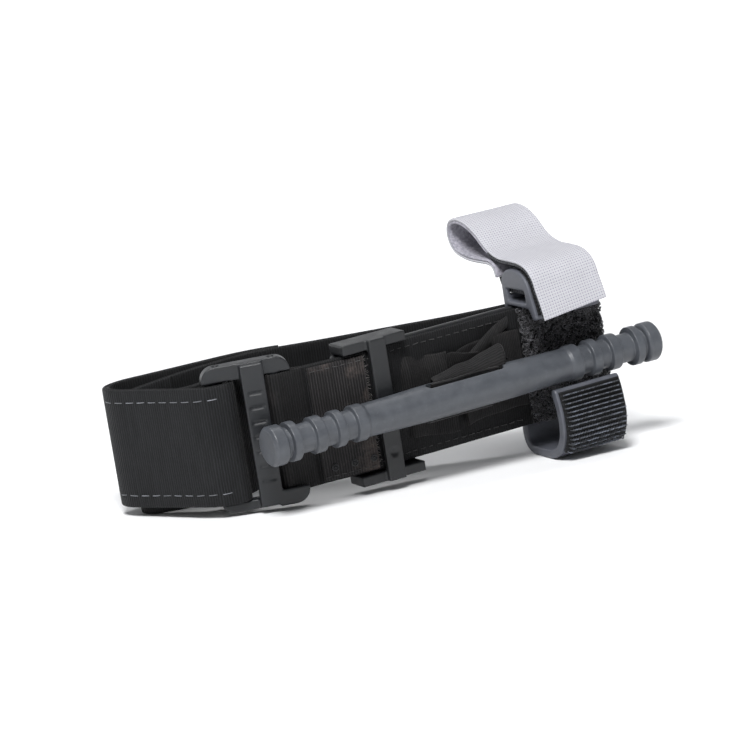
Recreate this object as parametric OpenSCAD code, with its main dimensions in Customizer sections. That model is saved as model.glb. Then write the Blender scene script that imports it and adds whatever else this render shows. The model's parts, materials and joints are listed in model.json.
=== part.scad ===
// Windlass tourniquet folded flat and standing on its long edge.
// Object axes: X along the windlass, -Y toward the clip mouth, Z across the band.
// All sizes are millimetres.

/* [Band] */
// width of the band webbing
band_w = 38.1; // [25:0.1:50]
// thickness of one sleeve, two tapes with a ribbon between
sleeve_t = 2.4; // [1.6:0.1:4]
// thickness of one tape of webbing
tape_t = 1.1; // [0.6:0.05:1.8]
// drop of the loose inner fold below the band edge
fold_drop = 3.4; // [0:0.1:6]

/* [Windlass] */
// overall length of the windlass rod
rod_len = 141; // [110:1:170]
// shaft radius next to the grips
rod_r = 5.25; // [4:0.05:7]
// shaft radius at the ribbon slot
rod_mid_r = 5.7; // [4.5:0.05:8]
// radius of the grip ribs
rib_r = 5.8; // [4.5:0.05:8]
// radius of the waists between the grip ribs
waist_r = 4.6; // [4:0.05:6]
// radius of the end caps
cap_r = 6.35; // [5:0.05:8]
// stand-off of the windlass axis from the plate face
rod_off = 15; // [12:0.1:20]
// height of the windlass axis above the band edge
rod_z = 19.3; // [14:0.1:25]
// length of the ribbon slot through the rod
slot_len = 28; // [20:0.5:34]
// width of the ribbon slot through the rod
slot_w = 3.2; // [2:0.1:4.5]
// roll of the rod about its own axis, in degrees
rod_roll = 14; // [-45:1:45]

/* [Windlass clip] */
// width of the clip along the windlass
clip_w = 24; // [18:0.5:32]
// start of the clip along X
clip_x = 30; // [22:0.5:38]
// forward reach of the hooks from the plate face
clip_y = 22.05; // [20:0.05:30]
// wall thickness of the hooks
clip_t = 2.9; // [2:0.1:4]

/* [Stabilization plate] */
// left end of the plate
plate_x0 = -36; // [-50:0.5:-25]
// right end of the plate
plate_x1 = 56; // [48:0.5:62]
// plate thickness
plate_t = 2.2; // [1.5:0.1:4]
// width of the contact bar bridging the plate
bridge_w = 6; // [4:0.5:16]
// depth of the band window under the contact bar
bridge_gap = 5.8; // [3:0.1:8]

/* [Routing buckle] */
// outside height of the buckle
buckle_h = 46.6; // [44:0.1:56]
// outside width of the buckle
buckle_w = 28; // [26:0.5:40]
// thickness of the buckle rails
buckle_t = 4.6; // [3:0.1:7]
// turn of the buckle about the upright, in degrees
buckle_yaw = -19; // [-40:1:0]

/* [Time strap] */
// width of the time strap
strap_w = 23.6; // [18:0.2:30]
// thickness of the woven face of the strap
strap_t = 0.9; // [0.5:0.05:1.5]

/* [Stance] */
// lean of the folded pack on its lowest edges, in degrees
lean = 3.3; // [0:0.1:8]

/* [Hidden] */
bx = -65.2;
by = 3.4;
band_y = -1.65;
clip_x1 = clip_x + clip_w;
rod_x = 1;
fold_x = 55.8;
buckle_z = -3.2;
buckle_x = 0.6;
strap_x = clip_x + 0.5;
org_x = 14.594;
org_y = -10.472;
org_z = 8.726;

// ---- flat path helpers ----
function unit(v) = v / norm(v);
function left_of(v) = [-v[1], v[0]];
function dir_at(p, i) = i == 0 ? unit(p[1] - p[0])
  : i == len(p) - 1 ? unit(p[i] - p[i - 1])
  : unit(unit(p[i] - p[i - 1]) + unit(p[i + 1] - p[i]));
function cut_at(p, i) = i == 0 || i == len(p) - 1 ? 1
  : max(0.4, unit(p[i + 1] - p[i]) * dir_at(p, i));
function beside(p, d) = [for (i = [0:len(p) - 1]) p[i] + left_of(dir_at(p, i)) * d / cut_at(p, i)];
function back_to_front(p) = [for (i = [len(p) - 1:-1:0]) p[i]];
function arc(c, r, a0, a1, n) = [for (i = [0:n]) c + r * [cos(a0 + (a1 - a0) * i / n), sin(a0 + (a1 - a0) * i / n)]];
function bez(a, b, c, d, n) = [for (i = [0:n]) let (t = i / n, s = 1 - t)
  s * s * s * a + 3 * s * s * t * b + 3 * s * t * t * c + t * t * t * d];
function turned(p, a, o) = [for (v = p) [o[0] + v[0] * cos(a) - v[1] * sin(a), o[1] + v[0] * sin(a) + v[1] * cos(a)]];
function rest(p) = [for (i = [1:len(p) - 1]) p[i]];

// a flat strip of thickness t standing on its edge along path p, shifted sideways by s
module strip(p, t, s = 0) {
  polygon(concat(beside(p, s - t / 2), back_to_front(beside(p, s + t / 2))));
}

// everything stands on its lowest edges: the pack leans about Y
module stand() {
  translate([org_x, org_y, org_z]) rotate([0, -lean, 0]) children();
}

module tape(p, t, s = 0, z0 = 0, h = band_w) {
  translate([0, 0, z0]) linear_extrude(height = h) strip(p, t, s);
}

module along_x(x0, l) {
  translate([x0, 0, 0]) rotate([90, 0, 90]) linear_extrude(height = l) children();
}

// ---- routes of the band, seen from above ----
// around the right bar of the buckle
bar_r = 2.1;
loop_r = bar_r + 0.12 + tape_t / 2;
loop_c = [9.4, 0];
loop_end = [-27.2, -4.1];
loop_front = turned(arc(loop_c, loop_r, 294.5, 181, 9), buckle_yaw, [bx, by]);
loop_back = turned(arc(loop_c, loop_r, 179, 78, 8), buckle_yaw, [bx, by]);
sec_in = [-47.6, -1.9];
sec_dir = unit(loop_end - sec_in);
// back run, from the right fold to the left fold
back_pts = concat(
  bez([fold_x + 1.1, 5.4], [52, 5.9], [41, 5.4], [28.7, 7.3], 6),
  rest(bez([28.7, 7.3], [14, 9.6], [-6, 19.6], [-20.4, 24.2], 8)),
  rest(bez([-20.4, 24.2], [-33, 28.4], [-41, 34.6], [-52, 35.9], 7)),
  rest(bez([-52, 35.9], [-62, 37.0], [-72, 38.2], [-82.7, 39.2], 6)));
// loose inner fold and inner run to the buckle
in_fold = concat(
  bez([-82.7, 39.2], [-89.7, 39.8], [-92.2, 36.4], [-91.2, 33.2], 8),
  rest(bez([-91.2, 33.2], [-90.1, 30.2], [-87.8, 28.4], [-85.2, 26.4], 5)));
slot_in = turned([[-3.9, 4.85]], buckle_yaw, [bx, by])[0];
slot_way = turned([[-8.0, 12.6], [-1.0, 13.0], [-1.0, 9.6], [-1.0, 7.6], [-3.8, 6.6]], buckle_yaw, [bx, by]);
in_run = concat(
  bez([-85.2, 26.4], [-82.0, 23.6], [-79.4, 20.2], [-75.6, 18.2], 6),
  rest(bez([-75.6, 18.2], slot_way[0], slot_way[1], slot_way[2], 9)),
  rest(bez(slot_way[2], slot_way[3], slot_way[4], slot_in, 5)));
// through the slot and round the left bar
uturn = turned(concat(
  [[-4.0, 4.4], [-4.25, 1.5]],
  arc([-7.6, -0.2], 3.25, 0, -86, 7),
  [[-10.8, -3.5], [-13.0, -3.2], [-14.6, -2.3]]), buckle_yaw, [bx, by]);
out_in = uturn[len(uturn) - 1];
// outer run from the buckle to the left fold, then the tail on the back
out_run = bez(out_in, [-82.4, 8.4], [-86.8, 17.4], [-92.0, 26.2], 9);
out_fold = concat(
  bez([-92.0, 26.2], [-94.6, 30.6], [-97.2, 34.0], [-96.4, 37.8], 6),
  rest(bez([-96.4, 37.8], [-95.4, 42.2], [-90.6, 43.8], [-84.8, 43.0], 7)));
tail_run = concat(
  bez([-84.68, 42.98], [-77, 41.9], [-66, 41.0], [-55, 39.7], 6),
  rest(bez([-55, 39.7], [-48, 38.9], [-42.4, 36.9], [-36.6, 33.6], 5)));

tail_end = tail_run[len(tail_run) - 1];
tail_dir = unit(tail_end - tail_run[len(tail_run) - 2]);

// ---- routing buckle ----
// front view of the frame, a rectangle with round corners
module buckle_outline() {
  for (m = [0, 1]) translate([buckle_x - buckle_w / 2 + (m == 0 ? 4.5 : buckle_w - 4.5), 0])
    for (z = [buckle_z + 4.5, buckle_z + buckle_h - 4.5]) translate([0, z]) circle(r = 4.5, $fn = 40);
  translate([buckle_x - buckle_w / 2 + 4.5, buckle_z]) square([buckle_w - 9, buckle_h]);
  translate([buckle_x - buckle_w / 2, buckle_z + 4.5]) square([buckle_w, buckle_h - 9]);
}
// the part of the frame between heights z0 and z1 and depths y0 and y1, right of x0
module buckle_slice(x0, y0, y1, z0, z1) {
  translate([0, y1, 0]) rotate([90, 0, 0]) linear_extrude(height = y1 - y0) intersection() {
    buckle_outline();
    translate([x0, z0]) square([60, z1 - z0]);
  }
}
module routing_buckle() {
  color([0.17, 0.18, 0.22]) stand() translate([bx, by, 0]) rotate([0, 0, buckle_yaw]) {
    top = buckle_z + buckle_h;
    h = buckle_t / 2;
    buckle_slice(-30, -h, h, buckle_z, -0.3);
    difference() {
      buckle_slice(-30, -h, h, band_w + 0.3, top);
      for (m = [-8.0, 9.4]) translate([m, 0, top - 1.2]) cylinder(r = 1.1, h = 3, $fn = 24);
    }
    // lip of the lower rail in front of the sewn loop
    buckle_slice(5, -h - 2.6, -h + 0.4, buckle_z, -0.3);
    buckle_slice(5, -h - 2.6, -h - 1.4, buckle_z, 1.9);
    // left bar that the running end turns over
    translate([-9.4, 0, -1]) linear_extrude(height = band_w + 2) union() {
      square([3.0, 3.0], center = true);
      translate([1.3, 0]) circle(r = 1.5, $fn = 32);
      translate([-1.5, 0]) circle(r = 1.5, $fn = 32);
    }
    // right bar that the sewn loop turns on
    translate([loop_c[0], 0, -1]) cylinder(r = bar_r, h = band_w + 2, $fn = 40);
    // raised centre bar with a plain wavy pad
    translate([2.4, -0.9, -1]) linear_extrude(height = band_w + 2) difference() {
      square([6.8, 5.0], center = true);
      for (m = [-1, 1]) translate([m * 3.9, 3.0]) circle(r = 1.6, $fn = 24);
    }
    difference() {
      translate([-1.2, -4.9, buckle_z + 0.6]) cube([7.2, 2.9, buckle_h - 1.2]);
      for (k = [0:6]) translate([2.4, -5.2, 6 + k * 4.6]) rotate([0, 90, 0])
        cylinder(r = 0.75, h = 4.6, center = true, $fn = 20);
    }
  }
}

// ---- stabilization plate with its contact bar ----
module stabilization_plate() {
  color([0.16, 0.16, 0.17]) stand() difference() {
    union() {
      // base
      translate([0, plate_t, 0]) rotate([90, 0, 0]) linear_extrude(height = plate_t) union() {
        translate([plate_x0 + 3, -0.5]) square([plate_x1 - plate_x0 - 9, band_w + 1]);
        translate([plate_x0, 2.5]) square([4, band_w - 5]);
        for (z = [2.5, band_w - 2.5]) translate([plate_x0 + 3, z]) circle(r = 3, $fn = 32);
        translate([plate_x1 - 8, 5.5]) square([8, band_w - 11]);
        for (z = [5.5, band_w - 5.5]) translate([plate_x1 - 6, z]) circle(r = 6, $fn = 40);
      }
      // rails that carry the contact bar
      for (z = [-3.7, band_w + 0.5]) {
        translate([plate_x0 + 1, -bridge_gap - 1.0, z]) cube([22.5, bridge_gap + 1.0 + plate_t, 3.2]);
        translate([plate_x0 + 1, -bridge_gap + 1.5, z]) cube([22.5, bridge_gap - 1.5 + plate_t, 3.2]);
      }
      // contact bar with round ends
      translate([plate_x0 + 9.6, 0, -3.7]) linear_extrude(height = band_w + 7.4) union() {
        translate([0, -bridge_gap - 2.7]) square([bridge_w, 1.35]);
        translate([1.35, -bridge_gap - 2.7]) square([bridge_w - 2.7, 2.7]);
        translate([1.35, -bridge_gap - 1.35]) circle(r = 1.35, $fn = 28);
        translate([bridge_w - 1.35, -bridge_gap - 1.35]) circle(r = 1.35, $fn = 28);
      }
      // long stiffening ribs on the limb side
      for (z = [8, band_w - 8]) translate([plate_x0 + 12, plate_t - 0.2, z]) rotate([0, 90, 0])
        cylinder(r = 0.9, h = 50, $fn = 28);
    }
    // round dimple low on the contact bar
    translate([plate_x0 + 9.6 + bridge_w / 2, -bridge_gap - 4.2, 5.2]) sphere(r = 2.2, $fn = 32);
    // sight holes along the base, under the band
    for (x = [-4, 8, 20]) translate([x, plate_t / 2, band_w / 2]) rotate([90, 0, 0])
      cylinder(r = 2.0, h = plate_t + 4, center = true, $fn = 32);
  }
}

// ---- windlass clip ----
upper_out = concat([[4.1, 38.8], [4.1, 46.0]],
  rest(bez([4.1, 46.0], [3.6, 49.6], [0.4, 51.0], [-3.6, 51.0], 6)),
  rest(bez([-3.6, 51.0], [-8.6, 51.0], [-11.4, 49.0], [-12.6, 45.0], 8)),
  rest(bez([-12.6, 45.0], [-13.5, 42.0], [-14.2, 39.8], [-14.9, 36.9], 5)));
upper_in = concat([[-12.2, 36.4], [-11.8, 37.6], [-11.0, 38.5], [-9.8, 38.8]]);
upper_tape = concat(bez([-8.07, 50.26], [-10.36, 49.36], [-11.82, 47.6], [-12.6, 45.0], 7),
  rest(bez([-12.6, 45.0], [-13.5, 42.0], [-14.2, 39.8], [-14.9, 36.9], 5)));
hook_y = clip_t / 2 - clip_y;
foot_z = -8.9;
lower_mid = concat([[3.3, -1.2], [3.3, -4.2]],
  rest(bez([3.3, -4.2], [3.3, -7.0], [1.4, foot_z], [-2.0, foot_z], 6)),
  [[-10.4, foot_z]],
  rest(bez([-10.4, foot_z], [-16.2, foot_z], [hook_y, -4.4], [hook_y, 1.8], 10)),
  rest(bez([hook_y, 1.8], [hook_y, 6.0], [-19.8, 9.0], [-18.8, 11.75], 6)));
module clip_profile() {
  difference() {
    union() {
      polygon(concat(upper_out, upper_in));
      translate([-13.55, 36.65]) circle(r = 1.38, $fn = 28);
      strip(lower_mid, clip_t);
      translate([-18.8, 11.75]) circle(r = clip_t / 2, $fn = 28);
      // back wall behind the plate joins the two hooks
      translate([2.3, -4.0]) square([1.8, 47]);
    }
    // window through the buttress
    translate([-9.8, 40.4]) square([11.2, 4.0]);
  }
}

module windlass_clip() {
  color([0.30, 0.31, 0.34]) stand() difference() {
    along_x(clip_x, clip_w) clip_profile();
    // slot in the back wall that the strap is threaded through
    translate([clip_x + 1.6, 0.6, 42.1]) cube([clip_w - 3.2, 5, 2.3]);
  }
}

// hook tape on the outside of the lower hook
module clip_hook_patch() {
  color([0.10, 0.10, 0.11]) stand() along_x(clip_x + 0.8, clip_w - 1.6)
    strip(concat(bez([-17.68, -5.88], [-19.5, -3.98], [hook_y, -1.3], [hook_y, 1.8], 6),
      rest(bez([hook_y, 1.8], [hook_y, 6.0], [-19.8, 9.0], [-18.8, 11.75], 6))), 1.3, clip_t / 2 + 0.75);
}
// hook tape on the outside of the upper hook, under the strap
module clip_upper_tape() {
  color([0.10, 0.10, 0.11]) stand() along_x(clip_x + 0.8, clip_w - 1.6) strip(upper_tape, 0.9, -0.62);
}

// ---- windlass rod ----
function rod_profile() = let (e = rod_len / 2) [
  [0, -e], [cap_r - 0.9, -e], [cap_r, -e + 0.9], [cap_r, -e + 4.4], [cap_r - 0.6, -e + 5.0],
  [4.7, -e + 5.2], [4.7, -e + 6.6], [cap_r - 0.1, -e + 6.8], [cap_r - 0.1, -e + 9.4], [waist_r, -e + 9.8],
  [waist_r, -e + 14.6], [rib_r, -e + 15.0], [rib_r, -e + 18.4], [waist_r, -e + 18.8],
  [waist_r, -e + 22.2], [rib_r, -e + 22.6], [rib_r, -e + 25.4], [waist_r, -e + 25.8],
  [waist_r, -e + 29.2], [rib_r, -e + 29.6], [rib_r, -e + 33.0], [rod_r, -e + 33.8],
  [rod_r + 0.15, -e + 44], [rod_mid_r, -slot_len / 2 - 2], [rod_mid_r, slot_len / 2 + 2], [rod_r + 0.15, e - 44],
  [rod_r, e - 33.8], [rib_r, e - 33.0], [rib_r, e - 29.6], [waist_r, e - 29.2],
  [waist_r, e - 25.8], [rib_r, e - 25.4], [rib_r, e - 22.6], [waist_r, e - 22.2],
  [waist_r, e - 18.8], [rib_r, e - 18.4], [rib_r, e - 15.0], [waist_r, e - 14.6],
  [waist_r, e - 9.8], [cap_r - 0.1, e - 9.4], [cap_r - 0.1, e - 6.8], [4.7, e - 6.6],
  [4.7, e - 5.2], [cap_r - 0.6, e - 5.0], [cap_r, e - 4.4], [cap_r, e - 0.9], [cap_r - 0.9, e], [0, e]];

module windlass_rod() {
  color([0.33, 0.34, 0.36]) stand() translate([rod_x, -rod_off, rod_z]) rotate([rod_roll, 0, 0]) difference() {
    rotate([0, 90, 0]) rotate_extrude($fn = 96) polygon(rod_profile());
    // ribbon slot with round ends
    linear_extrude(height = 30, center = true) union() {
      square([slot_len - slot_w, slot_w], center = true);
      for (m = [-1, 1]) translate([m * (slot_len - slot_w) / 2, 0]) circle(r = slot_w / 2, $fn = 32);
    }
    // shallow grip dish and locating dot beside the slot
    translate([-21, -rod_mid_r - 1.0, 0]) rotate([90, 0, 0]) cylinder(r = 1.6, h = 2.9, center = true, $fn = 32);
    translate([21, -rod_mid_r - 1.0, 0]) rotate([90, 0, 0]) cylinder(r = 1.6, h = 2.9, center = true, $fn = 32);
  }
}

// ---- tension ribbon ----
rib_c = [-rod_off, rod_z];
module ribbon_in_slot() {
  color([0.13, 0.11, 0.10]) stand() translate([rod_x, -rod_off, rod_z]) rotate([rod_roll, 0, 0])
    translate([-12.4, -0.8, -8.2]) cube([24.8, 1.6, 16.4]);
}

// ribbon twisted into a roll along the top of the rod
module ribbon_upper_span() {
  color([0.13, 0.11, 0.10]) stand() union() {
    translate([-9.5, -8.4, 26.9]) rotate([0, 90, 0]) cylinder(r = 3.1, h = 29.5, $fn = 48);
    translate([-9.5, -8.4, 26.9]) sphere(r = 3.1, $fn = 48);
    translate([20.0, -8.4, 26.9]) sphere(r = 3.1, $fn = 48);
  }
}

// ribbon under the rod, up behind it
module ribbon_lower_span() {
  color([0.13, 0.11, 0.10]) stand() along_x(-12, 24.0)
    strip(bez([-13.4, 10.4], [-12.4, 5.8], [-6.2, 6.4], [-6.4, 16.4], 12), 1.1);
}

// ribbon lying on the sleeve on each side of the rod
module ribbon_left_run() {
  color([0.13, 0.11, 0.10]) stand() tape(concat(
    bez([-13.6, -3.5], [-11.6, -3.5], [-10.4, -4.7], [-8.4, -4.7], 5),
    rest(bez([-8.4, -4.7], [-6.0, -4.7], [-5.0, -3.6], [-2.4, -3.6], 5)),
    [[6.0, -3.6]]), 1.0, 0, 6.6, 24.8);
}
module ribbon_right_run() {
  color([0.13, 0.11, 0.10]) stand() tape(concat([[6.4, -3.6]],
    bez([10.0, -3.6], [13.6, -3.6], [14.0, -4.8], [17.8, -4.8], 5),
    rest(bez([17.8, -4.8], [21.6, -4.8], [22.0, -3.6], [25.0, -3.6], 5)),
    [[29.3, -3.6]]), 1.0, 0, 7.0, 24.8);
}

// ---- band ----
module buckle_loop() {
  color([0.09, 0.09, 0.10]) stand() {
    tape(concat([sec_in + left_of(sec_dir) * -0.62], loop_front, loop_back, [sec_in + left_of(sec_dir) * 0.62]), tape_t);
  }
}
sec_path = concat([sec_in, loop_end], bez([-26.2, -4.2], [-22, -4.0], [-18, -2.0], [-12.6, band_y], 6));
module section_face_tape() {
  color([0.10, 0.09, 0.09]) stand() tape(concat([sec_in + sec_dir * 0.1], rest(sec_path)), tape_t, -0.6);
}
module section_liner_tape() {
  color([0.09, 0.09, 0.10]) stand() tape(concat([sec_in + sec_dir * 0.1], rest(sec_path)), tape_t, 0.6);
}
// reinforcement patch with three small studs near its lower edge
module section_patch() {
  color([0.16, 0.13, 0.12]) stand() {
    tape([sec_in + sec_dir * 1.2, sec_in + sec_dir * 20.0], 0.8, -1.6, 0.6, band_w - 1.2);
    for (k = [0:2]) {
      q = sec_in + sec_dir * (5.2 + 6.6 * k) - left_of(sec_dir) * 1.7;
      translate([q[0], q[1], 4.6]) rotate([0, 0, atan2(sec_dir[1], sec_dir[0])]) rotate([90, 0, 0])
        cylinder(r = 1.0, h = 1.0, $fn = 24);
    }
  }
}
module clip_band_face() {
  color([0.06, 0.06, 0.07]) stand() tape([[-12.4, band_y], [fold_x, band_y]], tape_t, -0.6);
}
module clip_band_liner() {
  color([0.08, 0.08, 0.09]) stand() tape([[-12.4, band_y], [fold_x, band_y]], tape_t, 0.6);
}
module loop_pile_pad() {
  color([0.05, 0.05, 0.06]) stand() tape([[29.6, band_y - 1.25], [fold_x, band_y - 1.25]], 0.9, -0.45);
}
module right_fold() {
  color([0.06, 0.06, 0.07]) stand() tape(concat(
    [[fold_x + 0.1, band_y]],
    bez([fold_x + 1.6, band_y], [fold_x + 5.8, band_y], [fold_x + 5.8, 5.1], [fold_x + 1.2, 5.4], 12)), sleeve_t);
}
module back_run_face() {
  color([0.07, 0.07, 0.08]) stand() tape(back_pts, tape_t, -0.6);
}
module back_run_liner() {
  color([0.10, 0.10, 0.11]) stand() tape(back_pts, tape_t, 0.6);
}
module inner_fold() {
  color([0.07, 0.07, 0.08]) stand() tape(concat([[-82.8, 39.21]], rest(in_fold)), sleeve_t, 0, -fold_drop);
}
module inner_run() {
  color([0.07, 0.07, 0.08]) stand() tape(concat([in_run[0] + [0.08, -0.06]], rest(in_run)), sleeve_t, 0, -fold_drop / 2);
}
module buckle_uturn() {
  color([0.08, 0.08, 0.09]) stand() tape(uturn, sleeve_t);
}
module outer_run_face() {
  color([0.09, 0.09, 0.11]) stand() tape(out_run, tape_t, 0.6);
}
module outer_run_liner() {
  color([0.08, 0.08, 0.09]) stand() tape(out_run, tape_t, -0.6);
}
module outer_fold() {
  color([0.09, 0.09, 0.11]) stand() tape(concat([[-92.06, 26.3]], rest(out_fold)), sleeve_t);
}
module tail_face() {
  color([0.09, 0.09, 0.11]) stand() tape(tail_run, tape_t, 0.6);
}
module tail_liner() {
  color([0.08, 0.08, 0.09]) stand() tape(tail_run, tape_t, -0.6);
}
module tail_tip() {
  color([0.12, 0.12, 0.13]) stand() tape([tail_end + tail_dir * 0.1, tail_end + tail_dir * 5.6], 2.6, 0.5, 2.0, band_w - 4.0);
}

// rows of lock stitches along both edges of the outer run
module outer_run_stitching() {
  color([0.62, 0.63, 0.66]) stand() for (z = [3.9, band_w - 4.2])
    tape(beside(out_run, 1.36), 0.3, 0, z, 0.45);
}
// stitch row that closes the loop on the buckle
module loop_stitching() {
  color([0.30, 0.29, 0.29]) stand() for (z = [1.6, band_w - 2.0])
    tape([sec_in + sec_dir * 1.4, sec_in + sec_dir * 19.6], 0.28, -2.15, z, 0.4);
}

// ---- time strap, seen along the windlass ----
strap_in = concat([[-9.6, 43.2], [1.6, 43.2]],
  rest(bez([1.6, 43.2], [5.4, 43.2], [7.2, 44.0], [7.6, 47.0], 5)));
strap_back = concat(
  bez([7.6, 47.15], [8.0, 50.4], [9.4, 51.6], [13.8, 51.7], 6),
  rest(bez([13.8, 51.7], [21.5, 51.8], [25.6, 51.6], [31.0, 53.0], 6)),
  rest(bez([31.0, 53.0], [36.4, 54.4], [37.4, 61.6], [32.0, 63.2], 9)),
  rest(bez([32.0, 63.2], [26.6, 64.6], [20.6, 62.2], [16.6, 59.2], 6)),
  rest(bez([16.6, 59.2], [14.4, 57.4], [13.2, 56.2], [11.4, 55.3], 3)));
strap_pts = concat(
  bez([9.6, 54.2], [5.2, 52.4], [0.8, 53.3], [-4.0, 53.0], 6),
  rest(bez([-4.0, 53.0], [-11.6, 52.8], [-14.6, 50.4], [-15.7, 45.6], 7)),
  rest(bez([-15.7, 45.6], [-16.9, 42.4], [-18.4, 39.8], [-19.1, 35.8], 6)));
module strap_anchor() {
  color([0.45, 0.46, 0.50]) stand() along_x(clip_x + 1.9, clip_w - 3.8) strip(strap_in, 1.7);
}
module strap_back_loop() {
  color([0.70, 0.71, 0.76]) stand() along_x(strap_x, strap_w) strip(strap_back, 1.8);
}
module time_strap_face() {
  color([0.86, 0.87, 0.92]) stand() along_x(strap_x, strap_w) strip(strap_pts, strap_t, -0.46);
}
module time_strap_backing() {
  color([0.45, 0.46, 0.50]) stand() along_x(strap_x, strap_w) strip(strap_pts, strap_t, 0.46);
}

routing_buckle();
stabilization_plate();
windlass_clip();
clip_hook_patch();
clip_upper_tape();
windlass_rod();
ribbon_in_slot();
ribbon_upper_span();
ribbon_lower_span();
ribbon_left_run();
ribbon_right_run();
buckle_loop();
section_face_tape();
section_liner_tape();
section_patch();
loop_stitching();
clip_band_face();
clip_band_liner();
loop_pile_pad();
right_fold();
back_run_face();
back_run_liner();
inner_fold();
inner_run();
buckle_uturn();
outer_run_face();
outer_run_liner();
outer_run_stitching();
outer_fold();
tail_face();
tail_liner();
tail_tip();
strap_anchor();
strap_back_loop();
time_strap_face();
time_strap_backing();
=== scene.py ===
"""A folded windlass tourniquet: webbing, thread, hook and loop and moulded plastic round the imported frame.

Lengths are millimetres in the pack's own axes: x along the windlass, -y toward the clip mouth and z across
the band. to_world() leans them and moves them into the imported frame, in metres.
"""
import json
import math

import bpy
import numpy as np
from mathutils import Matrix, Vector


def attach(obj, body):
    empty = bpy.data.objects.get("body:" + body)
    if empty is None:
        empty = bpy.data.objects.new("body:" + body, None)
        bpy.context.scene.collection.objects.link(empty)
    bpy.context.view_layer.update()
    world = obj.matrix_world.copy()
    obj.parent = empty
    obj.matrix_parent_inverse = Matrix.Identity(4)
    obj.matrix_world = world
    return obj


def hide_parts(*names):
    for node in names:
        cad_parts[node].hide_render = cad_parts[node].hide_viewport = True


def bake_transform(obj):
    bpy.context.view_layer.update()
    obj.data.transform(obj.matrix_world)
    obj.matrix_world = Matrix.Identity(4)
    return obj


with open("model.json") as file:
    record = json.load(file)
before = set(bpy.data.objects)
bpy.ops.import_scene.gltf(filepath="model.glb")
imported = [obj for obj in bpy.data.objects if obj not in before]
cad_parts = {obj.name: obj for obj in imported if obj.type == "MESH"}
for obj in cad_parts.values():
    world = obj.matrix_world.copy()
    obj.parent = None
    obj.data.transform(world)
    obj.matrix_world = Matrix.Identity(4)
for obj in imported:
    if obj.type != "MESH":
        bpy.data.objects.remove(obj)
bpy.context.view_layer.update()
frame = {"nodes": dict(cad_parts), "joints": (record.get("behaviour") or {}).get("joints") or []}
rng = np.random.default_rng(7)

# ---- driving dimensions, millimetres ----
MM = 0.001
LEAN = math.radians(3.3)
BAND_W = 38.1
TAPE_T = 1.1
TAPE_GAP = 0.6
RIB_PITCH = 0.82
RIBBON_PITCH = 0.7
KNIT_ROW = 0.92
KNIT_STITCH = 0.95
ROD_X = 1.0
ROD_Y = -15.0
ROD_Z = 19.3
ROD_LEN = 141.0
ROD_ROLL = math.radians(14)
SLOT_LEN = 28.0
SLOT_W = 3.2
CLIP_X = 30.0
CLIP_W = 24.0
STRAP_X = 30.5
STRAP_W = 23.6
STRAP_T = 0.9
BUCKLE_AT = (-65.2, 3.4)
BUCKLE_YAW = math.radians(-19)
FRONT_Y = -1.65
FOLD_DROP = 3.4
FOLD_X = 55.8


# ---- frame ----
def joint_named(name):
    """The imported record's joint of that name."""
    return next(j for j in frame["joints"] if j["name"] == name)


def leaned(points):
    """Turns pack points about y by the lean."""
    p = np.asarray(points, float)
    c, s = math.cos(LEAN), math.sin(LEAN)
    return np.stack([p[..., 0] * c - p[..., 2] * s, p[..., 1], p[..., 0] * s + p[..., 2] * c], -1)


ORIGIN = np.array(joint_named("windlass_turn")["pos_m"]) / MM - leaned([ROD_X, ROD_Y, ROD_Z])


def to_world(points):
    """Pack millimetres to frame metres."""
    return (leaned(points) + ORIGIN) * MM


def at(x, y, z):
    """One pack point as a frame vector."""
    return Vector(to_world([x, y, z]))


# ---- paths ----
def unit(vectors):
    """The same directions with a length of 1, along the last axis."""
    return vectors / np.maximum(np.linalg.norm(vectors, axis=-1), 1e-9)[..., None]


def distances(points):
    """How far along each of a line's points is."""
    return np.r_[0, np.cumsum(np.linalg.norm(np.diff(points, axis=0), axis=1))]


def between(s, lengths, values):
    """Rows of values at distances s, from rows that are given at those lengths."""
    return np.stack([np.interp(s, lengths, column) for column in values.T], -1)


def bez(a, b, c, d, n=24):
    """Points along a cubic curve."""
    t = np.linspace(0, 1, n + 1)[:, None]
    s = 1 - t
    a, b, c, d = (np.array(v, float) for v in (a, b, c, d))
    return s ** 3 * a + 3 * s * s * t * b + 3 * s * t * t * c + t ** 3 * d


def chain(start, *points):
    """Points along cubic curves that follow on: after the start, two handles and an end for each."""
    runs = []
    for k in range(0, len(points), 3):
        runs.append(bez(start, *points[k:k + 3]))
        start = points[k + 2]
    return np.concatenate(runs)


def arc(centre, radius, start, end, n=24):
    """Points along a circular arc, angles in degrees."""
    a = np.radians(np.linspace(start, end, n + 1))
    return np.array(centre, float) + radius * np.stack([np.cos(a), np.sin(a)], 1)


def at_buckle(points):
    """Buckle plan points to pack plan points."""
    p = np.asarray(points, float)
    c, s = math.cos(BUCKLE_YAW), math.sin(BUCKLE_YAW)
    turned = np.stack([p[:, 0] * c - p[:, 1] * s, p[:, 0] * s + p[:, 1] * c], 1)
    return turned + np.array(BUCKLE_AT)


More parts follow.
